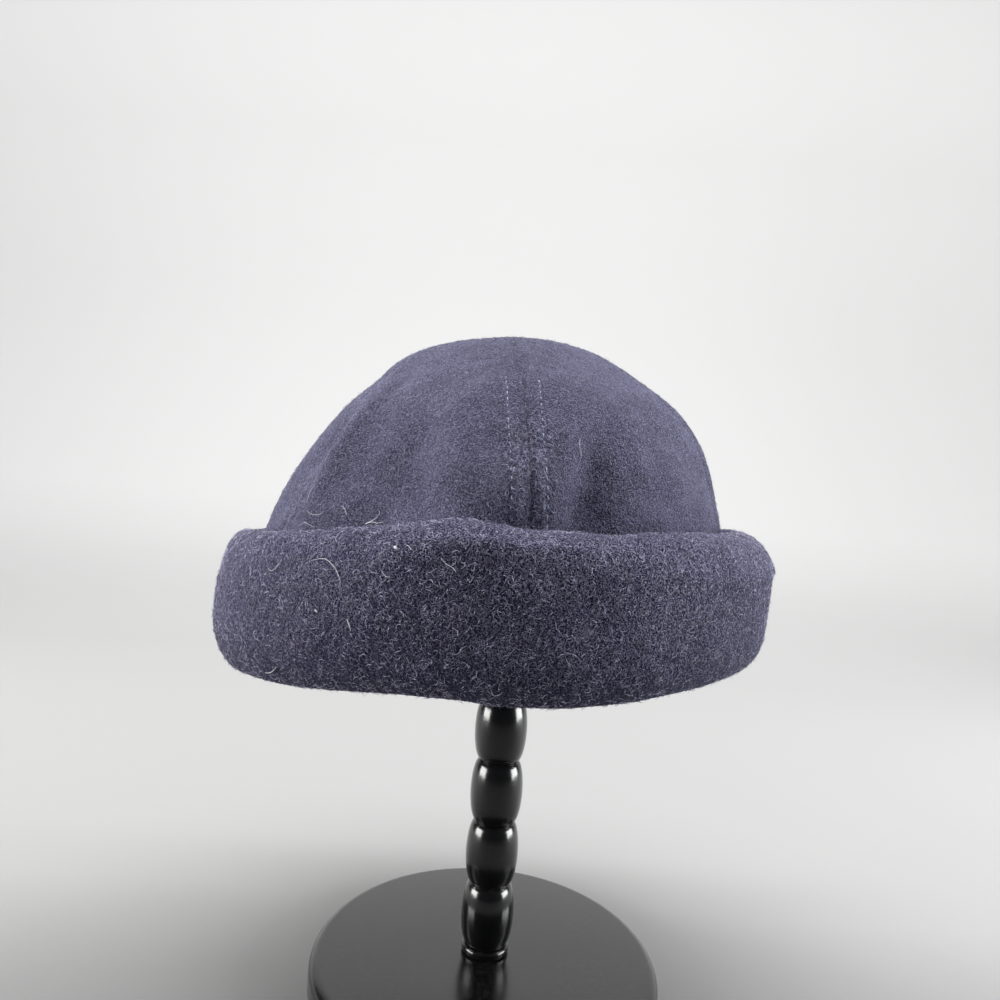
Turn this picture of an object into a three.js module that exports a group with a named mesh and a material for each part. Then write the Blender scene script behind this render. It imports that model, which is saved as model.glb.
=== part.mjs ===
// A docker beanie of thick navy melton, resting on a small black turned hat stand.
// Millimetres, +Z up. The origin is the middle of the underside of the stand's base.
// The hat's front faces -Y, and angles round the hat are degrees from its front towards its right, +X.
import * as THREE from 'three';
import { mergeVertices } from 'three/addons/utils/BufferGeometryUtils.js';

// The cloth
const CLOTH = 2.4; // one ply of melton
const SEAM_GAP = 0.3; // left between one sewn piece and the next
const ALLOWANCE = 7; // seam allowance, pressed open against the inside of the crown
const ALLOWANCE_STEP = 0.7; // run over which the allowance's cut edge drops to the single ply

// The crown
const CROWN_FOOT = 9; // height of the crown's lower edge above the fold
const TIP_RADIUS = 1; // where the panels' tips stop short of the middle
const RIDGE = { height: 0.6, distance: 3.2, width: 2.2 }; // the swell either side of a seam
const MELTON = new THREE.MeshStandardMaterial({ color: 0x34354a, roughness: 0.95, metalness: 0 });

// Sections of the crown's outside, from its lower edge to the top. Height is above the fold, shift is how
// far the section's middle lies to the right, and sag is how far the middle of a panel hangs inside the seams.
const CROWN_SECTIONS = [
  { height: 9, shift: -1.6, halfWidth: 95.4, halfDepth: 98.6, sag: 0.4 },
  { height: 27, shift: -1.6, halfWidth: 92.8, halfDepth: 96.4, sag: 0.8 },
  { height: 45, shift: -1.1, halfWidth: 89.7, halfDepth: 93.8, sag: 1.2 },
  { height: 61, shift: 0.9, halfWidth: 84.7, halfDepth: 89.4, sag: 1.8 },
  { height: 76, shift: 3.2, halfWidth: 78.0, halfDepth: 82.8, sag: 2.2 },
  { height: 91, shift: 4.6, halfWidth: 67.2, halfDepth: 72.4, sag: 2.2 },
  { height: 103, shift: 4.6, halfWidth: 53.4, halfDepth: 58.4, sag: 1.6 },
  { height: 113.2, shift: 4.2, halfWidth: 38.2, halfDepth: 41.2, sag: 0.8 },
  { height: 118.9, shift: 6.0, halfWidth: 19.6, halfDepth: 20.8, sag: 0.2 },
  { height: 120.7, shift: 7.6, halfWidth: TIP_RADIUS, halfDepth: TIP_RADIUS, sag: 0 },
];

// The six seams, from the front one on: their angles at the crown's foot and higher up, above the turn, and
// how many columns of facets the panel to the right of each has between its allowances.
const CROWN_SEAMS = [
  { foot: 7.8, crown: 4.5, columns: 9 },
  { foot: 67, crown: 65, columns: 4 },
  { foot: 127, crown: 126, columns: 4 },
  { foot: 187, crown: 188, columns: 4 },
  { foot: 248, crown: 250, columns: 4 },
  { foot: 308.5, crown: 312.8, columns: 9 },
];
const SEAM_TURN = { start: 45, end: 90 }; // heights between which a seam goes from one angle to the other

// Soft hollows pressed into the crown, with the half angle and half height over which each one fades.
// lean is how many degrees a hollow's middle moves to the right for each millimetre up.
const CROWN_DENTS = [
  { angle: 18.8, height: 54, depth: 6.2, halfAngle: 6.0, halfHeight: 20, lean: 0.12 },
  { angle: 6.8, height: 50, depth: 2.2, halfAngle: 5, halfHeight: 9, lean: 0 },
  { angle: -18, height: 68, depth: 1.5, halfAngle: 4.5, halfHeight: 18, lean: -0.2 },
  { angle: -33, height: 51, depth: 2.6, halfAngle: 8, halfHeight: 10, lean: 0 },
  { angle: -37, height: 70, depth: 1.4, halfAngle: 5, halfHeight: 16, lean: 0.1 },
  { angle: -56, height: 72, depth: 2.2, halfAngle: 5, halfHeight: 14, lean: 0.1 },
  { angle: 98, height: 62, depth: 2.4, halfAngle: 9, halfHeight: 20, lean: 0 },
  { angle: 156, height: 58, depth: 3.0, halfAngle: 7, halfHeight: 20, lean: -0.1 },
  { angle: -140, height: 64, depth: 2.2, halfAngle: 9, halfHeight: 18, lean: 0.1 },
];

// The cuff: a wide band turned up over its fold and rolled in at the top. Radii are of the middle of its ply.
// foot is the lowest point of the turned fold, belly and shoulder the fullest and upper outside, rim the top
// of the roll, top and low the heights of the rim and the foot, groove the slot between crown and tucked ply.
const CUFF_SECTIONS = [
  { angle: 0, foot: 99.6, belly: 107.6, shoulder: 106.8, rim: 100.2, top: 51.1, low: 0.5, groove: 1.4 },
  { angle: 5, foot: 99.6, belly: 107.5, shoulder: 106.8, rim: 100.1, top: 49.4, low: -0.2, groove: 1.4 },
  { angle: 12, foot: 99.6, belly: 107.3, shoulder: 106.9, rim: 100.0, top: 48.7, low: -0.9, groove: 1.5 },
  { angle: 20, foot: 99.6, belly: 107.0, shoulder: 106.9, rim: 100.0, top: 47.5, low: -0.8, groove: 1.8 },
  { angle: 30, foot: 100.0, belly: 106.6, shoulder: 106.8, rim: 99.7, top: 47.6, low: -0.2, groove: 2.2 },
  { angle: 60, foot: 99.2, belly: 104.8, shoulder: 107.0, rim: 96.4, top: 46.0, low: 0.4, groove: 3 },
  { angle: 90, foot: 98.8, belly: 103.8, shoulder: 106.0, rim: 93.4, top: 45.4, low: 0.6, groove: 1.4 },
  { angle: 130, foot: 101.4, belly: 106.0, shoulder: 106.2, rim: 97.4, top: 45.2, low: 0.2, groove: 2.4 },
  { angle: 180, foot: 103.4, belly: 108.4, shoulder: 107.4, rim: 101.4, top: 46.4, low: 0, groove: 1.8 },
  { angle: 225, foot: 101.8, belly: 107.2, shoulder: 105.4, rim: 98.8, top: 46.0, low: 0.4, groove: 1.5 },
  { angle: 270, foot: 99.8, belly: 106.0, shoulder: 102.8, rim: 95.8, top: 45.5, low: -0.2, groove: 1.4 },
  { angle: 300, foot: 101.0, belly: 106.6, shoulder: 104.2, rim: 97.2, top: 47.0, low: 0.0, groove: 1.4 },
  { angle: 325, foot: 99.8, belly: 107.4, shoulder: 105.9, rim: 99.2, top: 47.9, low: 1.6, groove: 1.4 },
  { angle: 338, foot: 99.4, belly: 107.7, shoulder: 106.5, rim: 100.0, top: 49.8, low: 2.9, groove: 1.4 },
  { angle: 346, foot: 99.4, belly: 107.8, shoulder: 106.7, rim: 100.2, top: 50.8, low: 3.5, groove: 1.4 },
  { angle: 355, foot: 99.4, belly: 107.7, shoulder: 106.8, rim: 100.2, top: 52.6, low: 1.8, groove: 1.4 },
];
const HEM_DROP = 3.4; // from the hem seam down to where the fold begins to turn
const FOLD = { rise: 5, share: 0.7 }; // how high above its foot the fold has turned out by this share
const ROLL = { drop: 3.2, share: 0.56, shoulderDrop: 11.5, tuckDrop: 10 }; // how the rim rolls over
const TUCK_FOOT = 14; // height above the fold's foot at which the tucked ply ends
const CUFF_COLUMNS = 36;
const CUFF_STEPS = 22; // along the ply, from the hem seam to the tucked edge

// How the hat sits on the stand
const HAT_PLACE = new THREE.Vector3(-5.6, 0, 138.5);
const HAT_TILT = 4.3; // left side down

// The stand, turned in black lacquered wood
const LACQUER = new THREE.MeshStandardMaterial({ color: 0x0d0e10, roughness: 0.18, metalness: 0 });
const BASE = { radius: 70, height: 12, edge: 4, sides: 30 };
const POST = { beads: 9, pitch: 25, radius: 10.7, waist: 7.6, collar: 3, collarRadius: 9.6, sides: 12 };
const CAP = { radius: 30, neckRadius: 10.7, flare: 3, edge: 2, dome: 7.4, sides: 24 };
const TENON = { radius: 4, length: 7 };
const JOINT_GAP = 0.3;
const RINGS_PER_BEAD = 6;

const radians = THREE.MathUtils.degToRad;

// A smooth curve through one column of a table, read at a fractional row number.
function column(table, name, row) {
  const first = Math.min(Math.floor(row), table.length - 2);
  const value = (index) => table[THREE.MathUtils.clamp(index, 0, table.length - 1)][name];
  return catmullRom(row - first, value(first - 1), value(first), value(first + 1), value(first + 2));
}

function catmullRom(t, before, start, end, after) {
  const leave = (end - before) / 2;
  const arrive = (after - start) / 2;
  const cubic = 2 * start - 2 * end + leave + arrive;
  const square = -3 * start + 3 * end - 2 * leave - arrive;
  return ((cubic * t + square) * t + leave) * t + start;
}

// The same for a table of directions, which closes on itself.
function roundColumn(table, name, angle) {
  const turn = THREE.MathUtils.euclideanModulo(angle, 360);
  const next = table.findIndex((row) => row.angle > turn);
  const end = next === -1 ? table.length : next;
  const row = (index) => table[THREE.MathUtils.euclideanModulo(index, table.length)];
  const from = row(end - 1).angle;
  const to = next === -1 ? 360 : table[next].angle;
  const t = (turn - from) / (to - from);
  return catmullRom(t, row(end - 2)[name], row(end - 1)[name], row(end)[name], row(end + 1)[name]);
}

// Signed difference of two directions, from -180 to 180 degrees.
function angleBetween(a, b) {
  return THREE.MathUtils.euclideanModulo(a - b + 180, 360) - 180;
}

function bell(x) {
  return Math.exp(-x * x);
}

// The direction of a seam at a height above the fold.
function seamAngle(index, height) {
  const lap = Math.floor(index / CROWN_SEAMS.length);
  const seam = CROWN_SEAMS[index - lap * CROWN_SEAMS.length];
  const turned = THREE.MathUtils.smoothstep(height, SEAM_TURN.start, SEAM_TURN.end);
  return 360 * lap + THREE.MathUtils.lerp(seam.foot, seam.crown, turned);
}

// The two seams that a direction lies between, and its share of the way from the first to the second.
function panelAt(angle, height) {
  const turn = THREE.MathUtils.euclideanModulo(angle - seamAngle(0, height), 360) + seamAngle(0, height);
  let index = 0;
  while (index < CROWN_SEAMS.length - 1 && seamAngle(index + 1, height) <= turn) index += 1;
  const start = seamAngle(index, height);
  const end = seamAngle(index + 1, height);
  return { share: (turn - start) / (end - start), fromSeam: Math.min(turn - start, end - turn) };
}

// The oval that a section of the crown is shaped from, as a radius from the section's middle.
function crownOval(row, angle) {
  const across = Math.sin(radians(angle)) / column(CROWN_SECTIONS, 'halfWidth', row);
  const along = Math.cos(radians(angle)) / column(CROWN_SECTIONS, 'halfDepth', row);
  return 1 / Math.hypot(across, along);
}

// The crown's outside at a section and direction: the oval with the panels' sag, the seams' swell and the dents.
function crownRadius(row, angle) {
  const height = column(CROWN_SECTIONS, 'height', row);
  const oval = crownOval(row, angle);
  const { share, fromSeam } = panelAt(angle, height);
  const sag = column(CROWN_SECTIONS, 'sag', row) * Math.sin(Math.PI * share) ** 2;
  const swell = Math.min(1, oval / 30) * bell((radians(fromSeam) * oval - RIDGE.distance) / RIDGE.width);
  const dents = CROWN_DENTS.map((dent) => {
    const up = height - dent.height;
    const across = angleBetween(angle, dent.angle + dent.lean * up);
    return dent.depth * bell(across / dent.halfAngle) * bell(up / dent.halfHeight);
  });
  return oval - sag + RIDGE.height * swell - dents.reduce((sum, depth) => sum + depth, 0);
}

// The crown's outside or, a depth further in, its inside: a radius from the section's middle, and a height.
function crownRing(row, angle, depth) {
  const step = 0.02;
  const above = Math.min(row + step, CROWN_SECTIONS.length - 1);
  const below = Math.max(row - step, 0);
  const rise = column(CROWN_SECTIONS, 'height', above) - column(CROWN_SECTIONS, 'height', below);
  const slide = column(CROWN_SECTIONS, 'shift', above) - column(CROWN_SECTIONS, 'shift', below);
  const lean = crownRadius(above, angle) - crownRadius(below, angle) + slide * Math.sin(radians(angle));
  const length = Math.hypot(rise, lean);
  const height = column(CROWN_SECTIONS, 'height', row) + depth * lean / length;
  return {
    radius: Math.max(crownRadius(row, angle) - depth * rise / length, TIP_RADIUS),
    height: Math.max(height, CROWN_FOOT),
  };
}

function crownPoint(row, angle, { radius, height }) {
  const turn = radians(angle);
  const shift = column(CROWN_SECTIONS, 'shift', row);
  return new THREE.Vector3(shift + radius * Math.sin(turn), -radius * Math.cos(turn), height);
}

// How far the crown, dents left out, reaches from the hat's axis at a height above the fold.
function crownReach(angle, height) {
  const next = Math.max(CROWN_SECTIONS.findIndex((section) => section.height > height), 1);
  const below = CROWN_SECTIONS[next - 1].height;
  const row = next - 1 + Math.max(height - below, 0) / (CROWN_SECTIONS[next].height - below);
  const point = crownPoint(row, angle, { radius: crownOval(row, angle) + RIDGE.height, height });
  return Math.hypot(point.x, point.y);
}

// Closes a grid of outer points and one of inner points, row by row, into a shell.
function shell(outer, inner) {
  const rows = outer.length;
  const columns = outer[0].length;
  const positions = [];
  for (const grid of [outer, inner]) {
    for (const line of grid) {
      for (const point of line) positions.push(point.x, point.y, point.z);
    }
  }
  const out = (r, c) => r * columns + c;
  const into = (r, c) => (rows + r) * columns + c;
  const faces = [];
  const quad = (a, b, c, d) => faces.push(a, b, c, a, c, d);
  for (let r = 0; r < rows - 1; r += 1) {
    for (let c = 0; c < columns - 1; c += 1) {
      quad(out(r, c), out(r, c + 1), out(r + 1, c + 1), out(r + 1, c));
      quad(into(r, c), into(r + 1, c), into(r + 1, c + 1), into(r, c + 1));
    }
    quad(out(r, 0), out(r + 1, 0), into(r + 1, 0), into(r, 0));
    quad(out(r, columns - 1), into(r, columns - 1), into(r + 1, columns - 1), out(r + 1, columns - 1));
  }
  for (let c = 0; c < columns - 1; c += 1) {
    quad(out(0, c), into(0, c), into(0, c + 1), out(0, c + 1));
    quad(out(rows - 1, c), out(rows - 1, c + 1), into(rows - 1, c + 1), into(rows - 1, c));
  }
  const geometry = new THREE.BufferGeometry();
  geometry.setAttribute('position', new THREE.Float32BufferAttribute(positions, 3));
  geometry.setIndex(faces);
  return geometry;
}

// Distances from a seam at which a panel's outermost columns stand.
const EDGE_COLUMNS = [0, RIDGE.distance, ALLOWANCE, ALLOWANCE + ALLOWANCE_STEP];
const ROWS_PER_SECTION = 2;

// A panel's columns at one row, as shares of the panel's width.
function panelShares(width, columns) {
  const squeeze = Math.min(1, width / (4 * ALLOWANCE));
  const left = EDGE_COLUMNS.map((distance) => distance * squeeze / width);
  const right = [...left].reverse().map((share) => 1 - share);
  const start = left[left.length - 1];
  const step = (1 - 2 * start) / (columns + 1);
  const middle = Array.from({ length: columns }, (_, i) => start + step * (i + 1));
  return [...left, ...middle, ...right];
}

// One of the crown's six panels: a single ply, doubled along both seams by the allowance turned inside.
function crownPanel(index) {
  const outer = [];
  const inner = [];
  const last = (CROWN_SECTIONS.length - 1) * ROWS_PER_SECTION;
  for (let step = 0; step <= last; step += 1) {
    const row = step / ROWS_PER_SECTION;
    const height = column(CROWN_SECTIONS, 'height', row);
    const seam = seamAngle(index, height);
    const spread = seamAngle(index + 1, height) - seam;
    const width = radians(spread) * crownRadius(row, seam + spread / 2);
    const shares = panelShares(width, CROWN_SEAMS[index].columns);
    const place = (share, depth) => {
      const ringAt = crownRing(row, seam + spread * share, depth);
      const slit = THREE.MathUtils.radToDeg(Math.asin(SEAM_GAP / 2 / ringAt.radius));
      return crownPoint(row, seam + slit + (spread - 2 * slit) * share, ringAt);
    };
    const doubled = (c) => c < EDGE_COLUMNS.length - 1 || c > shares.length - EDGE_COLUMNS.length;
    outer.push(shares.map((share) => place(share, 0)));
    inner.push(shares.map((share, c) => place(share, doubled(c) ? 2 * CLOTH : CLOTH)));
  }
  return shell(outer, inner);
}

// The middle line of the cuff's ply at one direction: from the hem seam under the crown, round the turned
// fold, up the outside, over the rolled rim and down to the tucked edge.
function cuffLine(angle) {
  const at = (name) => roundColumn(CUFF_SECTIONS, name, angle);
  const seam = crownPoint(0, angle, crownRing(0, angle, CLOTH / 2));
  const hem = Math.hypot(seam.x, seam.y);
  const foot = at('low') + CLOTH / 2;
  const top = at('top') - CLOTH / 2;
  const [belly, shoulder, rim] = [at('belly'), at('shoulder'), at('rim')];
  const tucked = (height) => new THREE.Vector2(crownReach(angle, height) + at('groove') + CLOTH / 2, height);
  const rollTop = tucked(top - ROLL.drop);
  return new THREE.SplineCurve([
    new THREE.Vector2(hem, CROWN_FOOT - SEAM_GAP),
    new THREE.Vector2(hem, CROWN_FOOT - SEAM_GAP - HEM_DROP),
    new THREE.Vector2(at('foot'), foot),
    new THREE.Vector2(THREE.MathUtils.lerp(at('foot'), belly, FOLD.share), foot + FOLD.rise),
    new THREE.Vector2(belly, foot + 14),
    new THREE.Vector2((belly + shoulder) / 2 + 0.3, foot + 26),
    new THREE.Vector2(shoulder, top - ROLL.shoulderDrop),
    new THREE.Vector2(rim + ROLL.share * (shoulder - rim), top - ROLL.drop),
    new THREE.Vector2(rim, top),
    new THREE.Vector2(Math.min(rollTop.x, rim - 1.5), rollTop.y),
    tucked(top - ROLL.tuckDrop),
    tucked(foot + TUCK_FOOT),
  ]);
}

function cuff() {
  const outer = [];
  const inner = [];
  for (let c = 0; c < CUFF_COLUMNS; c += 1) {
    const angle = 360 * c / CUFF_COLUMNS;
    const line = cuffLine(angle);
    const turn = radians(angle);
    const place = (point) => new THREE.Vector3(point.x * Math.sin(turn), -point.x * Math.cos(turn), point.y);
    const outside = [];
    const inside = [];
    for (let s = 0; s <= CUFF_STEPS; s += 1) {
      const middle = line.getPoint(s / CUFF_STEPS);
      const along = line.getTangent(s / CUFF_STEPS);
      const across = new THREE.Vector2(along.y, -along.x).multiplyScalar(CLOTH / 2);
      outside.push(place(middle.clone().add(across)));
      inside.push(place(middle.clone().sub(across)));
    }
    outer.push(outside);
    inner.push(inside);
  }
  return ring(outer, inner);
}

// Closes columns of outer and inner points into a ring with the section they make.
function ring(outer, inner) {
  const columns = outer.length;
  const loop = outer.map((line, c) => [...line, ...[...inner[c]].reverse()]);
  const size = loop[0].length;
  const positions = loop.flat().flatMap((point) => [point.x, point.y, point.z]);
  const faces = [];
  for (let c = 0; c < columns; c += 1) {
    const next = (c + 1) % columns;
    for (let s = 0; s < size; s += 1) {
      const after = (s + 1) % size;
      const a = c * size + s;
      const b = next * size + s;
      const d = next * size + after;
      const e = c * size + after;
      faces.push(a, b, d, a, d, e);
    }
  }
  const geometry = new THREE.BufferGeometry();
  geometry.setAttribute('position', new THREE.Float32BufferAttribute(positions, 3));
  geometry.setIndex(faces);
  return geometry;
}

// A turned solid from a profile of [radius, height] pairs that starts and ends on the axis, bottom first.
function turned(profile, sides) {
  const points = profile.map(([radius, height]) => new THREE.Vector2(radius, height));
  const geometry = new THREE.LatheGeometry(points, sides);
  geometry.rotateX(Math.PI / 2);
  geometry.deleteAttribute('normal');
  geometry.deleteAttribute('uv');
  return mergeVertices(geometry, 1e-3);
}

// A round disc with a soft edge, and a blind hole for the post's tenon.
function standBase() {
  const { radius, height, edge, sides } = BASE;
  const hole = TENON.radius + JOINT_GAP;
  const corner = (x, z, from, to, steps) => Array.from({ length: steps + 1 }, (_, i) => {
    const turn = radians(from + (to - from) * i / steps);
    return [x + edge * Math.cos(turn), z + edge * Math.sin(turn)];
  });
  return turned([
    [0, 0],
    [radius - 2, 0],
    [radius, 2],
    ...corner(radius - edge, height - edge, 0, 90, 3),
    [hole, height],
    [hole, height - TENON.length - JOINT_GAP],
    [0, height - TENON.length - JOINT_GAP],
  ], sides);
}

// The spindle: a collar, nine oval beads turned in line, and a tenon at each end.
function standPost() {
  const { beads, pitch, radius, waist, collar, collarRadius, sides } = POST;
  const foot = BASE.height + JOINT_GAP;
  const profile = [
    [0, foot - TENON.length],
    [TENON.radius, foot - TENON.length],
    [TENON.radius, foot],
    [collarRadius, foot],
    [collarRadius, foot + collar],
  ];
  for (let bead = 0; bead < beads; bead += 1) {
    for (let step = 0; step < RINGS_PER_BEAD; step += 1) {
      const turn = Math.PI * step / RINGS_PER_BEAD;
      const height = foot + collar + pitch * (bead + (1 - Math.cos(turn)) / 2);
      profile.push([waist + (radius - waist) * Math.sin(turn), height]);
    }
  }
  const top = foot + collar + beads * pitch;
  profile.push([waist, top], [TENON.radius, top], [TENON.radius, top + TENON.length], [0, top + TENON.length]);
  return turned(profile, sides);
}

// The mushroom cap that carries the crown from inside.
function standCap() {
  const { radius, neckRadius, flare, edge, dome, sides } = CAP;
  const foot = BASE.height + 2 * JOINT_GAP + POST.collar + POST.beads * POST.pitch;
  const hole = TENON.radius + JOINT_GAP;
  const blind = foot + TENON.length + JOINT_GAP;
  const rim = foot + flare + edge;
  const steps = 6;
  const domed = Array.from({ length: steps }, (_, i) => {
    const turn = radians(90 * (i + 1) / (steps + 1));
    return [radius * Math.cos(turn), rim + dome * Math.sin(turn)];
  });
  return turned([
    [0, blind],
    [hole, blind],
    [hole, foot],
    [neckRadius, foot],
    [radius - edge, foot + flare],
    [radius, rim],
    ...domed,
    [0, rim + dome],
  ], sides);
}

function named(name, geometry, material) {
  const mesh = new THREE.Mesh(geometry, material);
  mesh.name = name;
  return mesh;
}

const hat = new THREE.Group();
for (let index = 0; index < CROWN_SEAMS.length; index += 1) {
  hat.add(named(`crown_panel_${index + 1}`, crownPanel(index), MELTON));
}
hat.add(named('cuff', cuff(), MELTON));
hat.position.copy(HAT_PLACE);
hat.rotation.y = -radians(HAT_TILT);

const stand = new THREE.Group();
stand.add(named('stand_base', standBase(), LACQUER));
stand.add(named('stand_post', standPost(), LACQUER));
stand.add(named('stand_cap', standCap(), LACQUER));

const beanie = new THREE.Group();
beanie.add(hat, stand);

export default beanie;
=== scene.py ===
import math

import bpy
import numpy as np
from mathutils import Matrix, Vector, noise
from mathutils.bvhtree import BVHTree


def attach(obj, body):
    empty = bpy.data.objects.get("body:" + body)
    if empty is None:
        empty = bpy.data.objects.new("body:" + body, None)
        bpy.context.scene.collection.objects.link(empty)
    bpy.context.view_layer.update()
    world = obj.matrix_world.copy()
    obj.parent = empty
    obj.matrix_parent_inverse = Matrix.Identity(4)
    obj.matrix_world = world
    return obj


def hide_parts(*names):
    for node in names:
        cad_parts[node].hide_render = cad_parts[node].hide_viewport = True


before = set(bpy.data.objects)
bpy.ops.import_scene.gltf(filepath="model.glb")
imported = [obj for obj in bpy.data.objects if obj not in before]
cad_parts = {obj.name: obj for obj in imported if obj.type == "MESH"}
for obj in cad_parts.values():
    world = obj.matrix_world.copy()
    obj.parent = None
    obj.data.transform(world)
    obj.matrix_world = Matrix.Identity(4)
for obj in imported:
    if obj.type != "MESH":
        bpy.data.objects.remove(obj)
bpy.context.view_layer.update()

# The stand's base: a flat disc turned from close-grained wood, rounded over at its top edge and drilled in
# the middle for the post's tenon. It is sprayed with gloss black lacquer and has gathered a little dust.
MM = 0.001
BASE_RADIUS, BASE_HEIGHT, BASE_EDGE, BASE_FOOT_EDGE = 70.0, 12.0, 4.0, 2.0
TENON_RADIUS, TENON_LENGTH, JOINT_GAP = 4.0, 7.0, 0.3
# a ring of points on the flat top
BASE_TOP_RING = 26.0
BASE_SIDES, LATHE_CREASE = 144, 32
LACQUER_BLACK = (0.0045, 0.0048, 0.0055, 1)
LACQUER_DUST = (0.16, 0.155, 0.145, 1)
# scales, per metre, of the dust, the smears and the orange peel
DUST_SCALE, SMEAR_SCALE, PEEL_SCALE = 420.0, 38.0, 700.0
PEEL_RELIEF = (0.12, 0.0001)
DUST_CONTRAST, DUST_FLOOR, DUST_ROUGHNESS, GLOSS_ROUGHNESS = 5.0, -2.2, 0.5, 0.15


def plug(tree, socket, value):
    """Feeds a socket from another one, or sets its own value."""
    if isinstance(value, bpy.types.NodeSocket):
        tree.links.new(value, socket)
    else:
        socket.default_value = value


def add(tree, kind, inputs=(), **settings):
    """A new shader node with these settings, and (socket, value or source) pairs plugged in."""
    node = tree.nodes.new(kind)
    for name, value in settings.items():
        setattr(node, name, value)
    for socket, value in inputs:
        plug(tree, node.inputs[socket], value)
    return node


def calc(tree, operation, *values, clamp=False):
    """The result of a Math node."""
    return add(tree, "ShaderNodeMath", enumerate(values), operation=operation, use_clamp=clamp).outputs[0]


def tone(tree, share, low, high):
    """A colour between two others."""
    node = add(tree, "ShaderNodeMix", data_type="RGBA", clamp_factor=True)
    for socket, value in ((0, share), (6, low), (7, high)):
        plug(tree, node.inputs[socket], value)
    return node.outputs[2]


def grain(tree, place, scale, detail):
    """A noise of one scale, read at a place."""
    inputs = [("Vector", place), ("Scale", scale), ("Detail", detail)]
    return add(tree, "ShaderNodeTexNoise", inputs).outputs[0]


def facing_up(tree):
    """How far the surface faces up, from -1 to 1."""
    normal = add(tree, "ShaderNodeNewGeometry").outputs["Normal"]
    return add(tree, "ShaderNodeSeparateXYZ", [(0, normal)]).outputs["Z"]


def new_group(name, **inputs):
    """An empty shader group for a colour, a roughness and a height, with its inputs' and outputs' sockets."""
    group = bpy.data.node_groups.new(name, "ShaderNodeTree")
    for socket, value in inputs.items():
        kind = "NodeSocketColor" if isinstance(value, tuple) else "NodeSocketFloat"
        group.interface.new_socket(name=socket, in_out="INPUT", socket_type=kind).default_value = value
    for socket, kind in (("Color", "Color"), ("Roughness", "Float"), ("Height", "Float")):
        group.interface.new_socket(name=socket, in_out="OUTPUT", socket_type=f"NodeSocket{kind}")
    return group, group.nodes.new("NodeGroupInput").outputs, group.nodes.new("NodeGroupOutput").inputs


def new_material(name, **constants):
    """A Principled material with these constants, its tree and its shader's sockets."""
    material = bpy.data.materials.new(name)
    material.use_nodes = True
    shader = material.node_tree.nodes["Principled BSDF"].inputs
    for socket, value in constants.items():
        shader[socket.replace("_", " ")].default_value = value
    return material, material.node_tree, shader


def new_bump(tree, height, strength, distance):
    """The normals of a bumpy surface."""
    bump = add(tree, "ShaderNodeBump", [("Height", height)])
    bump.inputs["Strength"].default_value = strength
    bump.inputs["Distance"].default_value = distance
    return bump.outputs["Normal"]


def lacquer_film():
    """Gloss lacquer over turned wood: faint orange peel, smears in the gloss and dust where it faces up."""
    group, given, out = new_group("Lacquer film", Dust=0.3, Smears=0.1)
    place = add(group, "ShaderNodeTexCoord").outputs["Object"]
    up = facing_up(group)
    specks = grain(group, place, DUST_SCALE, 4.0)
    clouds = grain(group, place, SMEAR_SCALE, 3.0)
    upward = calc(group, "MULTIPLY", up, up, clamp=True)
    grains = calc(group, "MULTIPLY_ADD", specks, DUST_CONTRAST, DUST_FLOOR, clamp=True)
    dust = calc(group, "MULTIPLY", calc(group, "MULTIPLY", upward, grains), given["Dust"], clamp=True)
    plug(group, out["Color"], tone(group, dust, LACQUER_BLACK, LACQUER_DUST))
    smear = calc(group, "MULTIPLY_ADD", clouds, given["Smears"], GLOSS_ROUGHNESS)
    rough = calc(group, "MULTIPLY_ADD", dust, DUST_ROUGHNESS, smear, clamp=True)
    plug(group, out["Roughness"], rough)
    plug(group, out["Height"], grain(group, place, PEEL_SCALE, 1.0))
    return group


def coated(name, film, relief, look, **constants):
    """A material that takes its colour, roughness and relief from a group with its own look."""
    material, tree, shader = new_material(name, **constants)
    coat = add(tree, "ShaderNodeGroup", node_tree=film)
    for socket, value in look.items():
        coat.inputs[socket].default_value = value
    plug(tree, shader["Base Color"], coat.outputs["Color"])
    plug(tree, shader["Roughness"], coat.outputs["Roughness"])
    plug(tree, shader["Normal"], new_bump(tree, coat.outputs["Height"], *relief))
    return material


def lacquer(name, **look):
    """Black lacquer with its own share of dust and smears."""
    gloss = {"Coat_Weight": 0.5, "Coat_Roughness": 0.2, "Specular_IOR_Level": 0.5}
    return coated(name, film, PEEL_RELIEF, look, **gloss)


def piece_of(name, points, faces, material, crease=180):
    """A mesh piece from points in millimetres, smooth but for edges sharper than the crease, in degrees."""
    mesh = bpy.data.meshes.new(name)
    mesh.from_pydata(np.asarray(points, float) * MM, [], faces)
    mesh.shade_smooth()
    if crease < 180:
        mesh.set_sharp_from_angle(angle=math.radians(crease))
    mesh.materials.append(material)
    piece = bpy.data.objects.new(name, mesh)
    bpy.context.scene.collection.objects.link(piece)
    return piece


def band_faces(rows, columns, closed=False):
    """The quads of a grid of points, row by row, that closes round on itself or doesn't."""
    span = columns if closed else columns - 1
    row, column = np.meshgrid(np.arange(rows - 1), np.arange(span), indexing="ij")
    after = (column + 1) % columns
    low, high = row * columns, (row + 1) * columns
    return np.stack([low + column, low + after, high + after, high + column], axis=-1).reshape(-1, 4)


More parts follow.
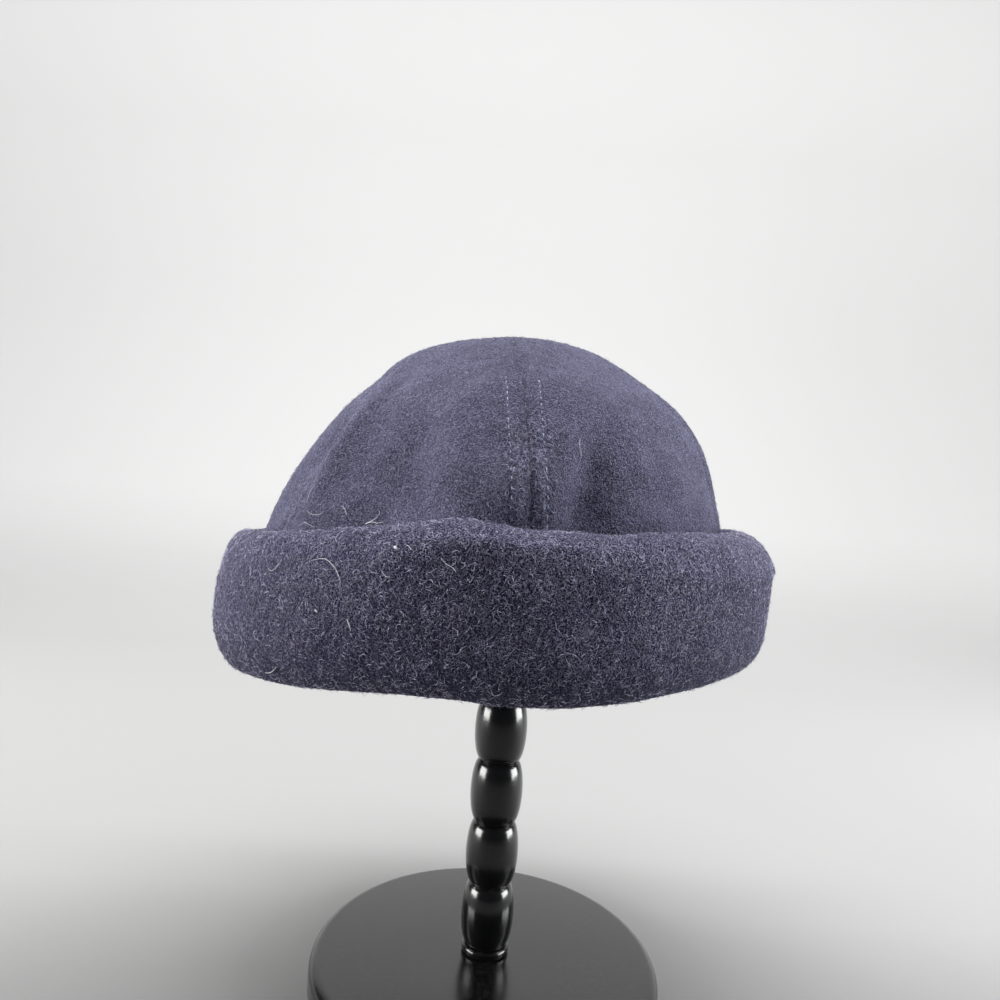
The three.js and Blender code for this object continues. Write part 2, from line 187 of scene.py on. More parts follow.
def turned(name, profile, sides, material):
    """A turned piece from (radius, height) pairs, bottom first, that start and end on the axis."""
    turns = np.linspace(0, 2 * np.pi, sides, endpoint=False)
    radius, height = np.array(profile[1:-1]).T[:, :, None]
    rings = np.stack([radius * np.sin(turns), -radius * np.cos(turns), height + 0 * turns], axis=-1)
    points = np.vstack([rings.reshape(-1, 3), [0, 0, profile[0][1]], [0, 0, profile[-1][1]]])
    rows = len(profile) - 2
    faces = band_faces(rows, sides, closed=True).tolist()
    low, high = rows * sides, rows * sides + 1
    for side in range(sides):
        after = (side + 1) % sides
        faces.append([low, after, side])
        faces.append([high, (rows - 1) * sides + side, (rows - 1) * sides + after])
    return piece_of(name, points, faces, material, LATHE_CREASE)


def arc(radius, height, size, start, end, steps):
    """Points on a quarter round or a part of one, from the start angle to the end, in degrees."""
    turns = np.radians(np.linspace(start, end, steps + 1))
    return [(radius + size * math.cos(turn), height + size * math.sin(turn)) for turn in turns]


film = lacquer_film()
base_lacquer = lacquer("black_lacquer_base", Dust=0.06, Smears=0.1)
base_disc = turned("base_disc", [
    (0, 0),
    *arc(BASE_RADIUS - BASE_FOOT_EDGE, BASE_FOOT_EDGE, BASE_FOOT_EDGE, -90, 0, 5),
    *arc(BASE_RADIUS - BASE_EDGE, BASE_HEIGHT - BASE_EDGE, BASE_EDGE, 0, 90, 10),
    (BASE_TOP_RING, BASE_HEIGHT),
    (TENON_RADIUS + JOINT_GAP, BASE_HEIGHT),
    (TENON_RADIUS + JOINT_GAP, BASE_HEIGHT - TENON_LENGTH - JOINT_GAP),
    (0, BASE_HEIGHT - TENON_LENGTH - JOINT_GAP),
], BASE_SIDES, base_lacquer)
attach(base_disc, "root")
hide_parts("stand_base")

# The post: one spindle with a collar and nine oval beads turned in line, glued into the base and the cap by
# the tenons at its ends. It has the same gloss black lacquer, cleaner here because it is handled.
POST_BEADS, POST_PITCH, BEAD_RADIUS, WAIST_RADIUS = 9, 25.0, 10.7, 7.6
COLLAR_HEIGHT, COLLAR_RADIUS, COLLAR_EDGE = 3.0, 9.6, 0.8
RINGS_PER_BEAD, POST_SIDES = 18, 56

post_foot = BASE_HEIGHT + JOINT_GAP
beads_foot = post_foot + COLLAR_HEIGHT
beads_top = beads_foot + POST_BEADS * POST_PITCH


def bead_profile(bead):
    """One oval bead of the spindle, from its lower waist up."""
    turns = np.linspace(0, np.pi, RINGS_PER_BEAD, endpoint=False)
    radii = WAIST_RADIUS + (BEAD_RADIUS - WAIST_RADIUS) * np.sin(turns)
    heights = beads_foot + POST_PITCH * (bead + (1 - np.cos(turns)) / 2)
    return list(zip(radii, heights))


post_lacquer = lacquer("black_lacquer_post", Dust=0.08, Smears=0.06)
post_turning = turned("post_turning", [
    (0, post_foot - TENON_LENGTH),
    (TENON_RADIUS, post_foot - TENON_LENGTH),
    (TENON_RADIUS, post_foot),
    *arc(COLLAR_RADIUS - COLLAR_EDGE, post_foot + COLLAR_EDGE, COLLAR_EDGE, -90, 0, 4),
    *arc(COLLAR_RADIUS - COLLAR_EDGE, beads_foot - COLLAR_EDGE, COLLAR_EDGE, 0, 90, 4),
    *[point for bead in range(POST_BEADS) for point in bead_profile(bead)],
    (WAIST_RADIUS, beads_top),
    (TENON_RADIUS, beads_top),
    (TENON_RADIUS, beads_top + TENON_LENGTH),
    (0, beads_top + TENON_LENGTH),
], POST_SIDES, post_lacquer)
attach(post_turning, "root")
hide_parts("stand_post")

# The cap: a shallow mushroom turned from the same wood, glued on the post's upper tenon. It is lacquered
# with the rest, and the hat's crown hangs over it.
CAP_RADIUS, CAP_NECK, CAP_FLARE, CAP_EDGE, CAP_DOME = 30.0, 10.7, 3.0, 2.0, 7.4
CAP_SIDES, DOME_STEP = 96, 6

cap_foot = beads_top + JOINT_GAP
cap_rim = cap_foot + CAP_FLARE + CAP_EDGE
dome_turns = np.radians(np.arange(DOME_STEP, 90, DOME_STEP))
dome = [(CAP_RADIUS * math.cos(turn), cap_rim + CAP_DOME * math.sin(turn)) for turn in dome_turns]
cap_lacquer = lacquer("black_lacquer_cap", Dust=0.15, Smears=0.1)
cap_dome = turned("cap_dome", [
    (0, cap_foot + TENON_LENGTH + JOINT_GAP),
    (TENON_RADIUS + JOINT_GAP, cap_foot + TENON_LENGTH + JOINT_GAP),
    (TENON_RADIUS + JOINT_GAP, cap_foot),
    (CAP_NECK, cap_foot),
    (CAP_RADIUS - CAP_EDGE, cap_foot + CAP_FLARE),
    (CAP_RADIUS, cap_rim),
    *dome,
    (0, cap_rim + CAP_DOME),
], CAP_SIDES, cap_lacquer)
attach(cap_dome, "root")
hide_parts("stand_cap")

# The crown: six gores of thick navy melton (woven wool felted until the weave is gone), sewn right sides
# together and turned out, so that each edge rolls into its seam and the allowance lies pressed open inside.
# Angles are degrees round the hat from its front (-Y) towards its right (+X), heights are above the fold.
CLOTH = 2.4
ALLOWANCE, ALLOWANCE_STEP = 7.0, 0.7
CROWN_FOOT, CROWN_TIP = 9.0, 0.15
SEAM_SLIT, SEAM_ROLL_WIDTH = 0.01, 0.34
# how deep each seam's edges roll in, the front seam's first, and where they flatten, and by how much
SEAM_ROLLS = (0.35, 0.4, 0.7, 0.7, 0.6, 0.2)
SEAM_FLATTENS, SEAM_FLATTER = (84, 106), 0.7
# the roll comes and goes along the seam: its mean share, its swing, and the wave's length and start
ROLL_MEAN, ROLL_SWING, ROLL_WAVE, ROLL_START = 0.7, 0.4, 2.4, 1
SWELL_HEIGHT, SWELL_DISTANCE, SWELL_WIDTH = 0.6, 3.2, 2.2
STITCH_OFFSET, STITCH_FURROW, FURROW_WIDTH = 5.0, 0.3, 0.7
FRONT_ROW_OFFSET, FRONT_ROW_SPREAD, FRONT_ROW_TURN = 0.5, 1.0, (48, 66)
# the sewn relief and the waver fade out where the crown is narrower than this
RELIEF_RADIUS, WAVER_RADIUS = 30, 20
# height, size and seed of the cloth's slight unevenness
WAVERS = ((0.38, 17, 3.1), (0.16, 5.5, 9.7))
HAT_PLACE, HAT_TILT = Vector((-0.0056, 0, 0.1385)), math.radians(4.3)
CROWN_ROWS, GORE_COLUMNS, CLOTH_CREASE = 80, 38, 60
EDGE_DISTANCES = np.array([0, 0.25, 0.6, 1.0, 1.5, 2.2, 3.1, 3.9, 4.6, 5.3, 6.3, 7.0, 7.7])

# height, shift to the right, half width, half depth, sag between seams
HEIGHT, SHIFT, HALF_WIDTH, HALF_DEPTH, SAG = range(5)
CROWN_SECTIONS = np.array([
    (9, -1.6, 95.4, 98.6, 0.4),
    (27, -1.6, 92.8, 96.4, 0.8),
    (45, -1.1, 89.7, 93.8, 1.2),
    (61, 0.9, 84.7, 89.4, 1.8),
    (76, 3.2, 78.0, 82.8, 2.2),
    (91, 4.6, 67.2, 72.4, 2.2),
    (103, 4.6, 53.4, 58.4, 1.6),
    (113.8, 4.2, 38.2, 41.2, 0.8),
    (119.6, 6.0, 19.6, 20.8, 0.2),
    (121.4, 7.6, CROWN_TIP, CROWN_TIP, 0),
])
# angle of each seam at the crown's foot, and above its turn
SEAM_ANGLES = np.array([(7.8, 4.5), (67, 65), (127, 126), (187, 188), (248, 250), (308.5, 312.8)])
SEAMS = len(SEAM_ANGLES)
SEAM_TURN = (45, 90)
# angle, height, depth (below 0 for a bulge), half angle, half height, lean in degrees per millimetre up
CROWN_DENTS = [
    (17.6, 54, 4.8, 4.5, 20, 0.17),
    (22.5, 54, 2.8, 6.5, 22, 0.14),
    (6.8, 50, 2.2, 5, 9, 0),
    (-18, 68, 1.5, 4.5, 18, -0.2),
    (-52, 77, 5.4, 6.5, 18, 0),
    (-42, 78, -2.4, 2.8, 20, 0),
    (-33.5, 76, 2.4, 5, 20, 0),
    (-22, 60, 5.2, 10, 23, 0),
    (-38, 45, 2.2, 20, 12, 0),
    (25, 44, 2.0, 16, 12, 0),
    (18.9, 74, -0.5, 0.7, 12, 0),
    (93, 84, -3.0, 22, 24, 0),
    (-75, 112, -1.3, 35, 9, 0),
    (98, 62, 1.4, 9, 20, 0),
    (156, 58, 3.0, 7, 20, -0.1),
    (-140, 64, 2.2, 9, 18, 0.1),
]
# scales, per metre, of the wool's sway, strands, pits and mottling, and the strands' widths
SWAY_SCALE, SWAY = 900.0, 0.0011
COARSE_SCALE, COARSE_WIDTH, FINE_SCALE, FINE_WIDTH = 1300.0, 0.09, 1900.0, 0.1
PIT_SCALE, PIT_CONTRAST, PIT_FLOOR, MOTTLE_SCALE = 2400.0, 2.6, -0.8, 85.0
FINE_SHARE, RELIEF_COVER, WOOL_ROUGHNESS, RELIEF_GLOSS = 0.8, 1.3, 0.97, -0.12
WOOL_STRENGTH, SHEEN_TINT = 0.85, (0.52, 0.53, 0.84, 1)


def felted_wool():
    """Milled wool: fine winding fibres over dark gaps, mottled, and painted darker where it faces down, a
    painted shade.
    """
    group, given, out = new_group(
        "Felted wool",
        Ground=(0.007, 0.0066, 0.015, 1), Fibre=(0.36, 0.345, 0.54, 1),
        Fineness=1.0, Cover=0.5, Mottling=0.25, Underside=0.3,
    )
    place = add(group, "ShaderNodeTexCoord").outputs["Object"]
    sway = add(group, "ShaderNodeTexNoise", [("Vector", place), ("Scale", SWAY_SCALE), ("Detail", 1.0)])

    def vector(operation, *inputs):
        """The result of a Vector Math node."""
        return add(group, "ShaderNodeVectorMath", inputs, operation=operation).outputs[0]

    centred = vector("SUBTRACT", (0, sway.outputs["Color"]), (1, (0.5, 0.5, 0.5)))
    bent = vector("ADD", (0, place), (1, vector("SCALE", (0, centred), ("Scale", SWAY))))

    def strands(scale, width):
        """Thin winding lines, bright along their middle."""
        field = grain(group, bent, calc(group, "MULTIPLY", given["Fineness"], scale), 1.5)
        away = calc(group, "ABSOLUTE", calc(group, "SUBTRACT", field, 0.5))
        return calc(group, "MULTIPLY_ADD", away, -1 / width, 1.0, clamp=True)

    coarse, fine = strands(COARSE_SCALE, COARSE_WIDTH), strands(FINE_SCALE, FINE_WIDTH)
    tangle = calc(group, "MAXIMUM", coarse, calc(group, "MULTIPLY", fine, FINE_SHARE))
    pits = grain(group, place, PIT_SCALE, 0.0)
    pits = calc(group, "MULTIPLY_ADD", pits, PIT_CONTRAST, PIT_FLOOR, clamp=True)
    relief = calc(group, "MULTIPLY", tangle, pits)
    clouds = grain(group, place, MOTTLE_SCALE, 3.0)
    mottle = calc(group, "MULTIPLY", calc(group, "SUBTRACT", clouds, 0.5), given["Mottling"])
    cover = calc(group, "SUBTRACT", given["Cover"], 0.5)
    cover = calc(group, "ADD", calc(group, "MULTIPLY", relief, RELIEF_COVER), cover)
    # painted shade: the cloth is made darker where its surface faces down, as if shaded from above
    shade_below = calc(group, "MULTIPLY", facing_up(group), -1.0, clamp=True)
    cover = calc(group, "SUBTRACT", cover, calc(group, "MULTIPLY", shade_below, given["Underside"]))
    cover = calc(group, "ADD", cover, mottle, clamp=True)
    plug(group, out["Color"], tone(group, cover, given["Ground"], given["Fibre"]))
    plug(group, out["Roughness"], calc(group, "MULTIPLY_ADD", relief, RELIEF_GLOSS, WOOL_ROUGHNESS))
    plug(group, out["Height"], relief)
    return group


def melton(name, relief, sheen, **look):
    """A melton with its own colour and nap, a relief in metres and a share of sheen."""
    bloom = {"Sheen_Weight": sheen, "Sheen_Roughness": 0.45, "Sheen_Tint": SHEEN_TINT}
    return coated(name, wool, (WOOL_STRENGTH, relief), look, Specular_IOR_Level=0.2, **bloom)


def bell(x):
    """A soft hump, 1 in its middle."""
    return np.exp(-x * x)


def between(angle, middle):
    """How many degrees an angle lies past another one, from -180 to 180."""
    return (angle - middle + 180) % 360 - 180


def smoothstep(x, low, high):
    """A share that eases from 0 at one value to 1 at another."""
    t = np.clip((x - low) / (high - low), 0, 1)
    return t * t * (3 - 2 * t)


def unit(vectors):
    """Vectors of length 1 in the same directions."""
    return vectors / np.linalg.norm(vectors, axis=-1, keepdims=True)


def catmull_rom(t, before, start, end, after):
    """A smooth curve from start to end that heads for their neighbours."""
    leave, arrive = (end - before) / 2, (after - start) / 2
    cubic = 2 * start - 2 * end + leave + arrive
    square = -3 * start + 3 * end - 2 * leave - arrive
    return ((cubic * t + square) * t + leave) * t + start


def crown_column(column, row):
    """One column of the crown's sections, read smoothly at a fractional row."""
    last = len(CROWN_SECTIONS) - 1
    first = np.clip(np.floor(row).astype(int), 0, last - 1)
    near = [CROWN_SECTIONS[np.clip(first + step, 0, last), column] for step in (-1, 0, 1, 2)]
    return catmull_rom(row - first, *near)


def seam_angle(seam, height):
    """The direction of a seam at a height, counting on past a full turn."""
    foot, crown = SEAM_ANGLES[seam % SEAMS] + 360 * (seam // SEAMS)
    return foot + (crown - foot) * smoothstep(height, *SEAM_TURN)


def crown_oval(row, angle):
    """The radius of the crown's oval section in a direction."""
    turn = np.radians(angle)
    half_width, half_depth = crown_column(HALF_WIDTH, row), crown_column(HALF_DEPTH, row)
    return 1 / np.hypot(np.sin(turn) / half_width, np.cos(turn) / half_depth)


def stitch_offset(seam, side, height):
    """How far a topstitched row runs from its seam. The front seam's left row spreads towards the foot."""
    if seam % SEAMS or side > 0:
        return STITCH_OFFSET
    return STITCH_OFFSET + FRONT_ROW_OFFSET + FRONT_ROW_SPREAD * (1 - smoothstep(height, *FRONT_ROW_TURN))


def gore_radius(gore, row, angle):
    """The outside of a gore from its section's middle: an oval with sag, dents, rolled edges and furrows."""
    height = crown_column(HEIGHT, row)
    oval = crown_oval(row, angle)
    start, end = seam_angle(gore, height), seam_angle(gore + 1, height)
    share = np.clip((angle - start) / (end - start), 0, 1)
    sag = crown_column(SAG, row) * np.sin(np.pi * share) ** 2
    relief = 0
    flattened = 1 - SEAM_FLATTER * smoothstep(height, *SEAM_FLATTENS)
    flattened = flattened * (ROLL_MEAN + ROLL_SWING * np.sin(height / ROLL_WAVE + ROLL_START))
    for seam, side, away in ((gore, 1, angle - start), (gore + 1, -1, end - angle)):
        distance = np.radians(away) * oval
        relief = relief + SWELL_HEIGHT * bell((distance - SWELL_DISTANCE) / SWELL_WIDTH)
        relief = relief - flattened * SEAM_ROLLS[seam % SEAMS] * bell(distance / SEAM_ROLL_WIDTH)
        past_stitches = distance - stitch_offset(seam, side, height)
        relief = relief - STITCH_FURROW * bell(past_stitches / FURROW_WIDTH)
    dents = 0
    for dent_angle, dent_height, depth, half_angle, half_height, lean in CROWN_DENTS:
        up = height - dent_height
        across = between(angle - dent_angle, lean * up)
        dents = dents + depth * bell(across / half_angle) * bell(up / half_height)
    return oval - sag + np.minimum(1, oval / RELIEF_RADIUS) * relief - dents


def gore_points(gore, row, angle, depth=0):
    """Points of a gore in the hat's own frame, on its outside or a depth further in."""
    step = 0.02
    above, below = np.minimum(row + step, len(CROWN_SECTIONS) - 1), np.maximum(row - step, 0)
    turn = np.radians(angle)
    rise = crown_column(HEIGHT, above) - crown_column(HEIGHT, below)
    slide = crown_column(SHIFT, above) - crown_column(SHIFT, below)
    lean = gore_radius(gore, above, angle) - gore_radius(gore, below, angle) + slide * np.sin(turn)
    length = np.hypot(rise, lean)
    radius = np.maximum(gore_radius(gore, row, angle) - depth * rise / length, CROWN_TIP)
    height = np.maximum(crown_column(HEIGHT, row) + depth * lean / length, CROWN_FOOT)
    x = crown_column(SHIFT, row) + radius * np.sin(turn)
    return np.stack([x, -radius * np.cos(turn), height], axis=-1)


def unevenness(points, size, seed):
    """Smooth bumps of about one size, from -1 to 1, that don't depend on the grid they are read on."""
    flat = points.reshape(-1, 3) / size + seed
    return np.array([noise.noise(point) for point in flat.tolist()]).reshape(points.shape[:-1])


def cloth_waver(points):
    """The slight unevenness of thick felted cloth, in millimetres."""
    return sum(height * unevenness(points, size, seed) for height, size, seed in WAVERS)


def shell_faces(rows, columns):
    """The quads that close a grid of outer points and one of inner points into a shell."""
    outer = band_faces(rows, columns)
    inner = band_faces(rows, columns)[:, ::-1] + rows * columns
    rim = np.concatenate([
        np.arange(columns),
        np.arange(1, rows) * columns + columns - 1,
        (rows - 1) * columns + np.arange(columns - 2, -1, -1),
        np.arange(rows - 2, 0, -1) * columns,
    ])
    after = np.roll(rim, -1)
    wall = np.stack([after, rim, rim + rows * columns, after + rows * columns], axis=-1)
    return np.vstack([outer, inner, wall])


def gore_grid(gore):
    """A gore's outer and inner points, finest beside the seams."""
    row = np.linspace(0, len(CROWN_SECTIONS) - 1, CROWN_ROWS)[:, None]
    height = crown_column(HEIGHT, row)
    start = seam_angle(gore, height)
    spread = seam_angle(gore + 1, height) - start
    width = np.radians(spread) * crown_oval(row, start + spread / 2)
    edge = EDGE_DISTANCES * np.minimum(1, width / (4 * ALLOWANCE)) / width
    middle = np.linspace(0, 1, GORE_COLUMNS + 2)[1:-1]
    share = np.hstack([edge, edge[:, -1:] + (1 - 2 * edge[:, -1:]) * middle, 1 - edge[:, ::-1]])
    slit = np.degrees(np.arcsin(SEAM_SLIT / np.maximum(crown_oval(row, start), 3 * SEAM_SLIT)))
    angle = start + slit + (spread - 2 * slit) * share
    from_seam = np.minimum(share, 1 - share) * width
    doubled = 1 - smoothstep(from_seam, ALLOWANCE, ALLOWANCE + ALLOWANCE_STEP)
    waver = cloth_waver(gore_points(gore, row, angle)) * np.minimum(1, crown_oval(row, angle) / WAVER_RADIUS)
    outer = gore_points(gore, row, angle, -waver)
    inner = gore_points(gore, row, angle, CLOTH * (1 + doubled))
    return outer, inner


HAT_MATRIX = Matrix.Translation(HAT_PLACE) @ Matrix.Rotation(-HAT_TILT, 4, "Y")
HAT_TURN = np.array(HAT_MATRIX.to_3x3())


def on_stand(points):
    """Points of the hat's own frame, moved to where the hat sits on its stand, still in millimetres."""
    return points @ HAT_TURN.T + np.array(HAT_PLACE) / MM


wool = felted_wool()
crown_melton = melton(
    "navy_melton_crown", relief=0.0006, sheen=0.4,
    Ground=(0.026, 0.0255, 0.05, 1), Fibre=(0.282, 0.275, 0.414, 1),
    # a little painted shade where the crown faces down
    Fineness=0.85, Cover=0.52, Mottling=0.55, Underside=0.1,
)
gore_grids, gore_pieces = [], []
for gore in range(SEAMS):
    outer, inner = gore_grid(gore)
    gore_grids.append(on_stand(outer))
    points = on_stand(np.concatenate([outer.reshape(-1, 3), inner.reshape(-1, 3)]))
    faces = shell_faces(*outer.shape[:2])
    gore_piece = piece_of(f"gore_{gore + 1}", points, faces, crown_melton, CLOTH_CREASE)
    gore_pieces.append(gore_piece)
    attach(gore_piece, "root")
    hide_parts(f"crown_panel_{gore + 1}")

# The cuff: one wide band of the same melton, its ends joined at the back. It is sewn to the crown's edge
# out of sight, turned up outside over a soft fold, and its top rolls over and tucks down beside the crown.
HEM_GAP, HEM_DROP = 0.3, 3.4
FOLD_RISE, FOLD_SHARE = 5, 0.7
BELLY_RISE, SIDE_RISE, SIDE_SWELL = 14, 26, 0.3
ROLL_DROP, ROLL_SHARE, SHOULDER_DROP, TUCK_DROP, TUCK_FOOT = 3.2, 0.56, 11.5, 10.0, 14.0
ROLL_LEAST = 1.5
# the roll is tighter round this direction: how much its shoulder and edge rise, and the edge swells
TIGHT_AT, TIGHT_WIDTH = 5.0, 17.0
TIGHTER_SHOULDER, TIGHTER_EDGE, TIGHTER_SHARE = 5.5, 0.6, 0.18
# the shares of the ply over which its unevenness sets in
WAVER_SETS_IN = (0.12, 0.25)
CUFF_COLUMNS, CUFF_STEPS = 300, 84
CUFF_JOIN, JOIN_DEPTH, JOIN_WIDTH = 187.0, 1.3, 1.0

# angle; radii of the fold's foot, belly, shoulder and rim; heights of rim and foot; groove to the crown
ANGLE, FOOT, BELLY, SHOULDER, RIM, RIM_HEIGHT, FOOT_HEIGHT, GROOVE = range(8)
CUFF_SECTIONS = np.array([
    (0, 99.6, 107.6, 107.8, 100.2, 51.1, 0.5, 1.4),
    (5, 99.6, 107.5, 107.8, 100.1, 49.4, -0.2, 1.4),
    (12, 99.6, 107.3, 107.4, 100.0, 48.7, -0.9, 1.5),
    (20, 99.6, 107.0, 106.9, 100.0, 47.5, -0.8, 1.8),
    (30, 100.0, 106.6, 106.8, 99.7, 47.6, -0.2, 2.2),
    (60, 99.2, 104.8, 107.0, 96.4, 46.0, 0.4, 3),
    (90, 98.8, 103.8, 106.0, 93.4, 45.4, 0.6, 1.4),
    (130, 101.4, 106.0, 106.2, 97.4, 45.2, 0.2, 2.4),
    (180, 103.4, 108.4, 107.4, 101.4, 46.4, 0, 1.8),
    (225, 101.8, 107.2, 105.4, 98.8, 46.0, 0.4, 1.5),
    (270, 99.8, 106.0, 102.8, 95.8, 45.5, -0.2, 1.4),
    (300, 101.0, 106.6, 104.2, 97.2, 47.0, 0, 1.4),
    (325, 99.8, 107.4, 105.9, 99.2, 47.9, 1.1, 1.4),
    (338, 99.4, 107.7, 107.0, 100.0, 49.8, 2.2, 1.4),
    (346, 99.4, 107.8, 107.8, 100.2, 50.8, 2.6, 1.4),
    (355, 99.4, 107.7, 107.8, 100.2, 52.6, 1.8, 1.4),
])


def cuff_column(column, angle):
    """One column of the cuff's sections, read smoothly all the way round."""
    turn = angle % 360
    count = len(CUFF_SECTIONS)
    first = np.searchsorted(CUFF_SECTIONS[:, ANGLE], turn, side="right") - 1
    start = CUFF_SECTIONS[first, ANGLE]
    end = np.where(first + 1 < count, CUFF_SECTIONS[(first + 1) % count, ANGLE], 360)
    near = [CUFF_SECTIONS[(first + step) % count, column] for step in (-1, 0, 1, 2)]
    return catmull_rom((turn - start) / (end - start), *near)


def crown_reach(angle, height):
    """How far the crown, dents left out, reaches from the hat's axis at a height."""
    heights = CROWN_SECTIONS[:, HEIGHT]
    row = np.interp(height, heights, np.arange(len(heights)))
    turn = np.radians(angle)
    radius = crown_oval(row, angle) + SWELL_HEIGHT
    return np.hypot(crown_column(SHIFT, row) + radius * np.sin(turn), radius * np.cos(turn))


def cuff_line(angle):
    """Control points of the ply's middle line at each angle: from the hem, round the fold, up and over."""
    radii = [cuff_column(column, angle) for column in (FOOT, BELLY, SHOULDER, RIM)]
    foot_radius, belly, shoulder, rim = radii
    foot = cuff_column(FOOT_HEIGHT, angle) + CLOTH / 2
    top = cuff_column(RIM_HEIGHT, angle) - CLOTH / 2
    beside_crown = cuff_column(GROOVE, angle) + CLOTH / 2
    hem = crown_reach(angle, np.full_like(angle, CROWN_FOOT)) - SWELL_HEIGHT - CLOTH / 2
    hem_height = np.full_like(angle, CROWN_FOOT - HEM_GAP)
    roll_radius = np.minimum(crown_reach(angle, top - ROLL_DROP) + beside_crown, rim - ROLL_LEAST)
    tight = bell(between(angle, TIGHT_AT) / TIGHT_WIDTH)
    edge_share = ROLL_SHARE + TIGHTER_SHARE * tight
    line = [
        (hem, hem_height),
        (hem, hem_height - HEM_DROP),
        (foot_radius, foot),
        (foot_radius + FOLD_SHARE * (belly - foot_radius), foot + FOLD_RISE),
        (belly, foot + BELLY_RISE),
        ((belly + shoulder) / 2 + SIDE_SWELL, foot + SIDE_RISE),
        (shoulder, top - SHOULDER_DROP + TIGHTER_SHOULDER * tight),
        (rim + edge_share * (shoulder - rim), top - ROLL_DROP + TIGHTER_EDGE * tight),
        (rim, top),
        (roll_radius, top - ROLL_DROP),
        (crown_reach(angle, top - TUCK_DROP) + beside_crown, top - TUCK_DROP),
        (crown_reach(angle, foot + TUCK_FOOT) + beside_crown, foot + TUCK_FOOT),
    ]
    return np.stack([np.stack(pair, axis=-1) for pair in line], axis=1)


def along_line(line, t):
    """Points at shares t of smooth curves through control points, a curve for each of the line's rows."""
    last = line.shape[1] - 1
    first = np.clip(np.floor(t * last).astype(int), 0, last - 1)
    near = [line[:, np.clip(first + step, 0, last)] for step in (-1, 0, 1, 2)]
    return catmull_rom((t * last - first)[None, :, None], *near)


def cuff_grid():
    """The cuff's outer and inner points: rows for the steps along the ply, columns for the directions."""
    angle = np.linspace(0, 360, CUFF_COLUMNS, endpoint=False)
    line = cuff_line(angle)
    t = np.linspace(0, 1, CUFF_STEPS + 1)
    nudge = 1e-3
    middle = along_line(line, t)
    along = unit(along_line(line, np.minimum(t + nudge, 1)) - along_line(line, np.maximum(t - nudge, 0)))
    across = np.stack([along[..., 1], -along[..., 0]], axis=-1)
    turn = np.radians(angle)[:, None]

    def placed(section):
        """The section's points, each turned to its own direction."""
        round_about = [section[..., 0] * np.sin(turn), -section[..., 0] * np.cos(turn), section[..., 1]]
        return np.stack(round_about, axis=-1).transpose(1, 0, 2)

    plain = placed(middle + across * CLOTH / 2)
    away = np.radians(between(angle, CUFF_JOIN)) * np.hypot(plain[..., 0], plain[..., 1])
    waver = cloth_waver(plain) * smoothstep(t, *WAVER_SETS_IN)[:, None]
    lift = waver - JOIN_DEPTH * bell(away / JOIN_WIDTH)
    outer = placed(middle + across * (CLOTH / 2 + lift.T[..., None]))
    return outer, placed(middle - across * CLOTH / 2)


cuff_melton = melton(
    "navy_melton_cuff", relief=0.0014, sheen=0.36,
    Ground=(0.005, 0.004, 0.028, 1), Fibre=(0.7, 0.66, 0.97, 1),
    # strong painted shade where the cuff faces down, under its fold
    Fineness=1.45, Cover=0.3, Mottling=0.4, Underside=0.66,
)
cuff_outer, cuff_inner = cuff_grid()
cuff_section = on_stand(np.concatenate([cuff_outer, cuff_inner[::-1], cuff_outer[:1]]))[:-1]
cuff_faces = band_faces(len(cuff_section) + 1, CUFF_COLUMNS, closed=True) % (len(cuff_section) * CUFF_COLUMNS)
cuff_band = piece_of("cuff_band", cuff_section.reshape(-1, 3), cuff_faces, cuff_melton, CLOTH_CREASE)
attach(cuff_band, "root")
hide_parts("cuff")

# The topstitching: a lockstitch row either side of every crown seam, which holds the allowance down. The
# thread is a pale blue-grey polyester that sinks half into the felt, so that only short dashes show.
STITCH_PITCH, STITCH_LENGTH, THREAD_RADIUS = 2.9, 2.3, 0.19
STITCH_SHORTER, STITCH_DEEPER, STITCH_ASIDE = 0.45, 0.16, 0.1
STITCH_RINGS, STITCH_SIDES, STITCH_TAPER = 6, 6, 0.35
STITCH_SINK, STITCH_RAISED = 0.35, 0.2
# how much deeper the nap hides each seam's stitches, and how much more where it closes above them
STITCH_HIDDEN = (-0.08, 0.35, 0.1, 0.1, 0.1, 0.45)
NAP_CLOSES, NAP_COVERS = (90, 102), 0.4
# where a row of stitches starts and ends, in rows of CROWN_SECTIONS, and how finely it is measured
STITCHED_ROWS, PATH_STEPS, FIRST_STITCH = (0.35, 7.95), 1200, 0.4
STITCH_SEED, ASIDE_RADIUS = 100, 10
THREAD_DARK, THREAD_LIGHT = (0.2, 0.22, 0.3, 1), (0.6, 0.68, 0.9, 1)
TWIST_SCALE, TWIST_CONTRAST, TWIST_FLOOR, OWN_TONE = 3200.0, 1.2, -0.45, 0.7
# a direction that few rods lie along, to set their rings by
RINGS_FROM = (0.31, 0.22, 0.93)


def thread_material(name, dark, light):
    """Spun thread or hair: a twist seen as fine bands, in a tone that differs from length to length."""
    material, tree, shader = new_material(name, Roughness=0.6, Sheen_Weight=0.3, Sheen_Roughness=0.4)
    own_tone = add(tree, "ShaderNodeNewGeometry").outputs["Random Per Island"]
    place = add(tree, "ShaderNodeTexCoord").outputs["Object"]
    twist = grain(tree, place, TWIST_SCALE, 1.0)
    bands = calc(tree, "MULTIPLY_ADD", twist, TWIST_CONTRAST, TWIST_FLOOR)
    share = calc(tree, "MULTIPLY_ADD", own_tone, OWN_TONE, bands, clamp=True)
    plug(tree, shader["Base Color"], tone(tree, share, dark, light))
    plug(tree, shader["Normal"], new_bump(tree, twist, strength=0.4, distance=0.0001))
    return material


